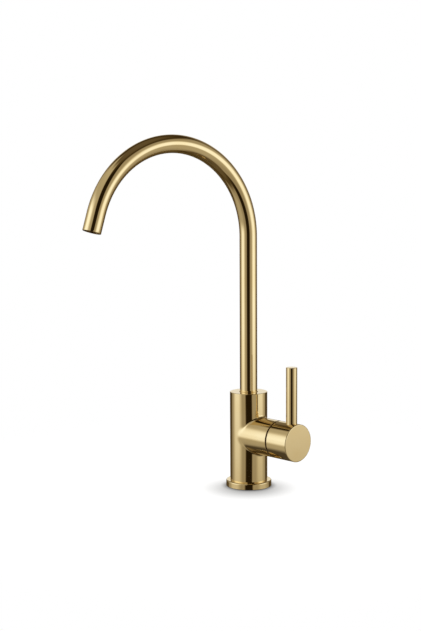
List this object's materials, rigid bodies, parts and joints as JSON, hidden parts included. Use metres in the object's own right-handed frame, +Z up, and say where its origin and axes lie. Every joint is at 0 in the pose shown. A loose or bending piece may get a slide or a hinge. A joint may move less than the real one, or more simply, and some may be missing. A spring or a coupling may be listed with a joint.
{
  "type": "drinking water tap",
  "caption": "Drinking water filter tap with a round column, a side valve with a turning cap and thin lever, and a tall swivelling gooseneck spout.",
  "frame": {"origin": "centre of the column's foot on the deck, under the column's axis", "axes": "+Z up the column, +X out along the valve branch, and the spout stands forward over -Y, turned 6 degrees towards -X at rest"},
  "size_m": [0.0881, 0.1939, 0.322],
  "materials": {
    "polished_gold": "polished gold coating on brass",
    "raw_brass": "machined",
    "black_rubber": "matte",
    "dark_plastic": "moulded",
    "pale_plastic": "moulded, slippery",
    "valve_ceramic": "lapped",
    "spring_steel": "stainless"
  },
  "bodies": {
    "tap_body": {"base_seal": "black_rubber", "base_flange": "polished_gold", "body": "polished_gold", "spout_retaining_screw": "spring_steel", "handle_glide_ring": "dark_plastic", "cartridge_housing": "raw_brass", "housing_o_ring": "black_rubber", "cartridge_seat_seal": "black_rubber", "fixed_disc": "valve_ceramic", "thrust_washer": "pale_plastic"},
    "handle": {"handle_cap": "polished_gold", "lever_rod": "polished_gold", "handle_grub_screw": "spring_steel", "spindle": "raw_brass", "spindle_o_ring_inner": "black_rubber", "spindle_o_ring_outer": "black_rubber", "moving_disc": "valve_ceramic", "stop_ring": "raw_brass", "spindle_clip": "spring_steel"},
    "spout": {"spout_pipe": "polished_gold", "spout_collar": "polished_gold", "spout_foot": "raw_brass", "spout_o_ring_lower": "black_rubber", "spout_o_ring_upper": "black_rubber", "spout_bush_lower": "pale_plastic", "spout_bush_upper": "pale_plastic", "outlet_bush": "raw_brass", "flow_straightener": "dark_plastic", "straightener_seal": "black_rubber", "outlet_screen": "spring_steel"}
  },
  "joints": [
    {"name": "handle_turn", "type": "hinge", "parent": "tap_body", "child": "handle", "pos_m": [0.0546, 0, 0.049], "axis": [1, 0, 0], "range_deg": [0, 90]},
    {"name": "spout_swivel", "type": "hinge", "parent": "tap_body", "child": "spout", "pos_m": [0, 0, 0.0885], "axis": [0, 0, 1], "continuous": true}
  ]
}
